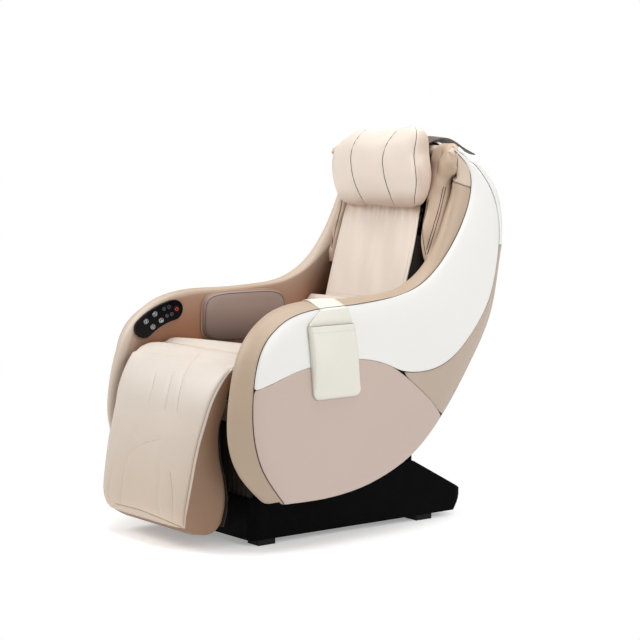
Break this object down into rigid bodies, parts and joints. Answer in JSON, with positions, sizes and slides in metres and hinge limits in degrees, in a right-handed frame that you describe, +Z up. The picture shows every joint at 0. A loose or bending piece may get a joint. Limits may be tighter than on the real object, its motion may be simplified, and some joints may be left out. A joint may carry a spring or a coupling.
{
  "type": "massage armchair",
  "caption": "Compact massage armchair: curved side shells, padded arms, hanging back flap, head pillow, swinging leg rest, side pouch and key panel on a low black base.",
  "frame": {"origin": "middle of the footprint, on the floor", "axes": "+Z up, the sitter faces -Y, +X is the sitter's left"},
  "size_m": [0.6636, 1.0103, 1.0116],
  "materials": {
    "base_black": "gloss",
    "frame_paint": "powder coat",
    "foot_rubber": "moulded",
    "inlet_plastic": "moulded",
    "switch_plastic": "moulded",
    "box_plastic": "moulded",
    "skirt_cloth": "woven",
    "pin_steel": "turned",
    "motor_plastic": "moulded",
    "rod_chrome": "polished",
    "board_wood": "plywood, uncoated",
    "panel_white": "satin",
    "panel_taupe": "satin metallic",
    "panel_tan": "satin",
    "tan_leather": "soft, satin",
    "mauve_leather": "soft, satin",
    "beige_leather": "soft, satin",
    "liner_mesh": "spacer mesh",
    "strap_leather": "flat, satin",
    "pouch_leather": "soft, satin",
    "panel_black": "polished",
    "rail_steel": "cold drawn",
    "carriage_plastic": "moulded, glass filled",
    "roller_rubber": "moulded",
    "key_plastic": "polished"
  },
  "bodies": {
    "base": {"base_shell": "base_black", "base_frame": "frame_paint", "rubber_feet": "foot_rubber", "power_inlet": "inlet_plastic", "control_box": "box_plastic", "dust_skirt": "skirt_cloth", "tilt_pivots": "pin_steel"},
    "power_switch": {"power_switch": "switch_plastic"},
    "recline_motor": {"recline_motor": "motor_plastic"},
    "recline_rod": {"recline_rod": "rod_chrome"},
    "cradle": {"cradle_frame": "frame_paint", "side_board_left": "board_wood", "side_board_right": "board_wood", "side_upper_left": "panel_white", "side_upper_right": "panel_white", "side_lower_left": "panel_taupe", "side_lower_right": "panel_taupe", "side_rear_left": "panel_tan", "side_rear_right": "panel_tan", "arm_pad_left": "tan_leather", "arm_pad_right": "tan_leather", "hip_pad_left": "mauve_leather", "hip_pad_right": "mauve_leather", "seat_cushion": "beige_leather", "lumbar_cushion": "beige_leather", "shoulder_wing_left": "tan_leather", "shoulder_wing_right": "tan_leather", "back_liner": "liner_mesh", "back_flap": "beige_leather", "top_roll": "tan_leather", "rear_cover_upper": "panel_tan", "rear_cover_lower": "panel_tan", "pillow_strap": "strap_leather", "side_pouch": "pouch_leather", "key_panel": "panel_black", "guide_rails": "rail_steel", "lift_motor": "motor_plastic", "leg_gearmotor": "motor_plastic"},
    "lead_screw": {"lead_screw": "rod_chrome"},
    "carriage": {"massage_carriage": "carriage_plastic"},
    "arm_left": {"massage_arm_left": "carriage_plastic"},
    "arm_right": {"massage_arm_right": "carriage_plastic"},
    "roller_upper_left": {"roller_upper_left": "roller_rubber"},
    "roller_upper_right": {"roller_upper_right": "roller_rubber"},
    "roller_lower_left": {"roller_lower_left": "roller_rubber"},
    "roller_lower_right": {"roller_lower_right": "roller_rubber"},
    "legrest": {"legrest_frame": "frame_paint", "legrest_pad": "beige_leather", "legrest_core": "tan_leather", "legrest_back": "skirt_cloth"},
    "pillow": {"head_pillow": "beige_leather"},
    "key_power": {"key_power": "key_plastic"},
    "key_mode_1": {"key_mode_1": "key_plastic"},
    "key_mode_2": {"key_mode_2": "key_plastic"},
    "key_mode_3": {"key_mode_3": "key_plastic"},
    "key_mode_4": {"key_mode_4": "key_plastic"},
    "key_small_1": {"key_small_1": "key_plastic"},
    "key_small_2": {"key_small_2": "key_plastic"},
    "key_small_3": {"key_small_3": "key_plastic"},
    "key_small_4": {"key_small_4": "key_plastic"}
  },
  "joints": [
    {"name": "cradle_tilt", "type": "hinge", "parent": "base", "child": "cradle", "pos_m": [0, -0.0255, 0.3], "axis": [-1, 0, 0], "range_deg": [0, 18]},
    {"name": "recline_motor_swing", "type": "hinge", "parent": "base", "child": "recline_motor", "pos_m": [0, 0.1045, 0.078], "axis": [-1, 0, 0], "range_deg": [0, 7]},
    {"name": "recline_rod_extend", "type": "slide", "parent": "recline_motor", "child": "recline_rod", "axis": [0, -0.7861, 0.6181], "range_m": [0, 0.027]},
    {"name": "legrest_swing", "type": "hinge", "parent": "cradle", "child": "legrest", "pos_m": [0, -0.3235, 0.383], "axis": [-1, 0, 0], "range_deg": [0, 60]},
    {"name": "carriage_lift", "type": "slide", "parent": "cradle", "child": "carriage", "axis": [0, 0.2672, 0.9636], "range_m": [0, 0.28]},
    {"name": "lead_screw_turn", "type": "hinge", "parent": "cradle", "child": "lead_screw", "pos_m": [0, 0.25792, 0.56103], "axis": [0, 0.2672, 0.9636], "range_deg": [0, 8400]},
    {"name": "massage_arm_left_rock", "type": "hinge", "parent": "carriage", "child": "arm_left", "pos_m": [0.056, 0.21587, 0.51042], "axis": [1, 0, 0], "range_deg": [-6, 6]},
    {"name": "massage_arm_right_rock", "type": "hinge", "parent": "carriage", "child": "arm_right", "pos_m": [-0.056, 0.21587, 0.51042], "axis": [1, 0, 0], "range_deg": [-6, 6]},
    {"name": "roller_upper_left_spin", "type": "hinge", "parent": "arm_left", "child": "roller_upper_left", "pos_m": [0.076, 0.22816, 0.55475], "axis": [1, 0, 0], "continuous": true},
    {"name": "roller_lower_left_spin", "type": "hinge", "parent": "arm_left", "child": "roller_lower_left", "pos_m": [0.076, 0.20357, 0.4661], "axis": [1, 0, 0], "continuous": true},
    {"name": "roller_upper_right_spin", "type": "hinge", "parent": "arm_right", "child": "roller_upper_right", "pos_m": [-0.076, 0.22816, 0.55475], "axis": [1, 0, 0], "continuous": true},
    {"name": "roller_lower_right_spin", "type": "hinge", "parent": "arm_right", "child": "roller_lower_right", "pos_m": [-0.076, 0.20357, 0.4661], "axis": [1, 0, 0], "continuous": true},
    {"name": "pillow_slide", "type": "slide", "parent": "cradle", "child": "pillow", "axis": [0, 0.2672, 0.9636], "range_m": [0, 0.04]},
    {"name": "power_switch_rock", "type": "hinge", "parent": "base", "child": "power_switch", "pos_m": [-0.062, 0.3395, 0.0395], "axis": [-1, 0, 0], "range_deg": [0, 12]},
    {"name": "key_power_press", "type": "slide", "parent": "cradle", "child": "key_power", "axis": [-0.9963, 0.0732, 0.0454], "range_m": [0, 0.0006], "stiffness_N_per_m": 400, "springref_m": -0.001},
    {"name": "key_mode_1_press", "type": "slide", "parent": "cradle", "child": "key_mode_1", "axis": [-0.9963, 0.0732, 0.0454], "range_m": [0, 0.0006], "stiffness_N_per_m": 400, "springref_m": -0.001},
    {"name": "key_mode_2_press", "type": "slide", "parent": "cradle", "child": "key_mode_2", "axis": [-0.9963, 0.0732, 0.0454], "range_m": [0, 0.0006], "stiffness_N_per_m": 400, "springref_m": -0.001},
    {"name": "key_mode_3_press", "type": "slide", "parent": "cradle", "child": "key_mode_3", "axis": [-0.9963, 0.0732, 0.0454], "range_m": [0, 0.0006], "stiffness_N_per_m": 400, "springref_m": -0.001},
    {"name": "key_mode_4_press", "type": "slide", "parent": "cradle", "child": "key_mode_4", "axis": [-0.9963, 0.0732, 0.0454], "range_m": [0, 0.0006], "stiffness_N_per_m": 400, "springref_m": -0.001},
    {"name": "key_small_1_press", "type": "slide", "parent": "cradle", "child": "key_small_1", "axis": [-0.9963, 0.0732, 0.0454], "range_m": [0, 0.0006], "stiffness_N_per_m": 400, "springref_m": -0.001},
    {"name": "key_small_2_press", "type": "slide", "parent": "cradle", "child": "key_small_2", "axis": [-0.9963, 0.0732, 0.0454], "range_m": [0, 0.0006], "stiffness_N_per_m": 400, "springref_m": -0.001},
    {"name": "key_small_3_press", "type": "slide", "parent": "cradle", "child": "key_small_3", "axis": [-0.9963, 0.0732, 0.0454], "range_m": [0, 0.0006], "stiffness_N_per_m": 400, "springref_m": -0.001},
    {"name": "key_small_4_press", "type": "slide", "parent": "cradle", "child": "key_small_4", "axis": [-0.9963, 0.0732, 0.0454], "range_m": [0, 0.0006], "stiffness_N_per_m": 400, "springref_m": -0.001}
  ],
  "couplings": [
    {"joint": "recline_motor_swing", "follows": "cradle_tilt", "ratio": 0.3595},
    {"joint": "recline_rod_extend", "follows": "cradle_tilt", "m_per_rad": 0.0805},
    {"joint": "lead_screw_turn", "follows": "carriage_lift", "rad_per_m": 523.6},
    {"joint": "massage_arm_left_rock", "follows": "massage_arm_right_rock", "ratio": -1}
  ]
}
